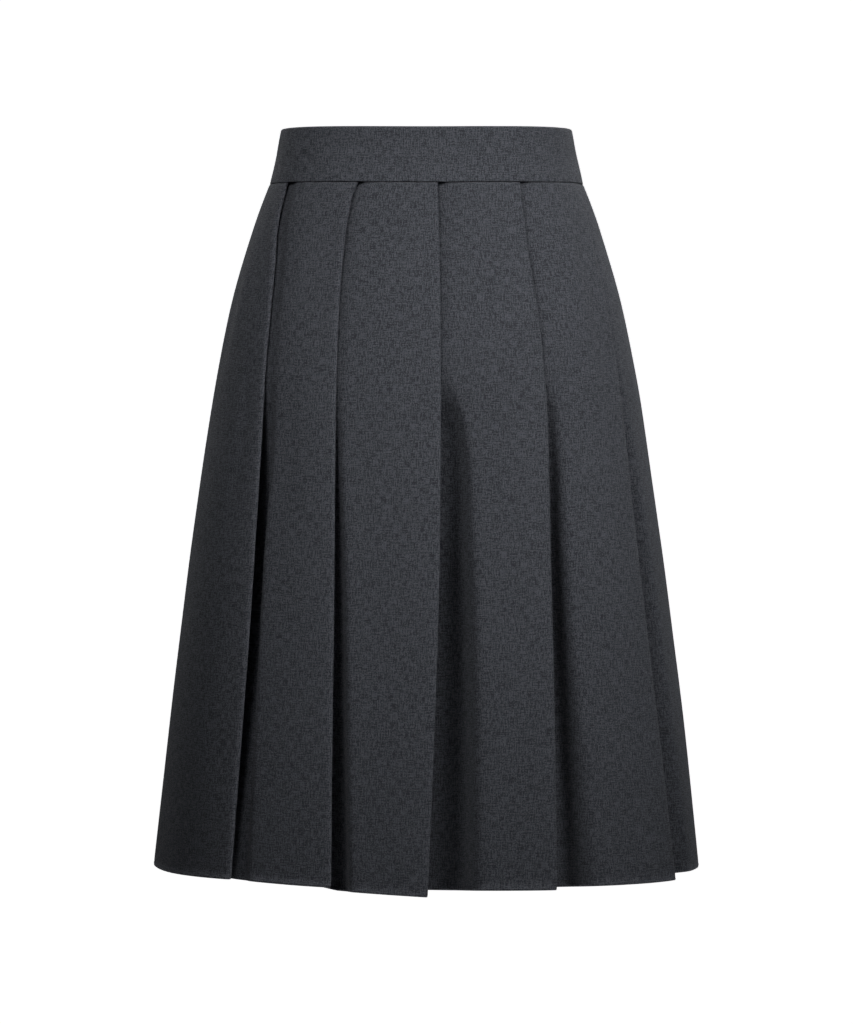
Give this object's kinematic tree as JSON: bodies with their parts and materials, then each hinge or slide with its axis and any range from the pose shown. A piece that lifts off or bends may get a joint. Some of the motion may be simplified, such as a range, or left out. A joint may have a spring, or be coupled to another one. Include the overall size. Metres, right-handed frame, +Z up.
{
  "type": "pleated skirt",
  "caption": "Knee-length pleated skirt with a plain waistband and a concealed back zip, filled out and hollow, open at waist and hem.",
  "frame": {"origin": "on the axis of the body at half the height of the waistband, where the wearer's waist holds the skirt", "axes": "+Z up, the front faces -Y, +X is the wearer's left"},
  "size_m": [0.4898, 0.3798, 0.6677],
  "materials": {
    "suiting": "fine charcoal suiting, softly mottled, matt with a faint sheen",
    "waistband": "the same suiting, doubled and pressed flat",
    "zip_tape": "close woven dark tape",
    "zip_metal": "dark enamel, satin"
  },
  "bodies": {
    "skirt": {"front_skirt": "suiting", "back_left_skirt": "suiting", "back_right_skirt": "suiting", "front_waistband": "waistband", "back_left_waistband": "waistband", "back_right_waistband": "waistband", "zip_tape": "zip_tape", "zip_slider": "zip_metal"},
    "pull": {"zip_pull": "zip_metal"}
  },
  "joints": [
    {"name": "pull_swing", "type": "hinge", "parent": "skirt", "child": "pull", "pos_m": [0, 0.1009, 0.0146], "axis": [1, 0, 0], "range_deg": [0, 150]}
  ]
}
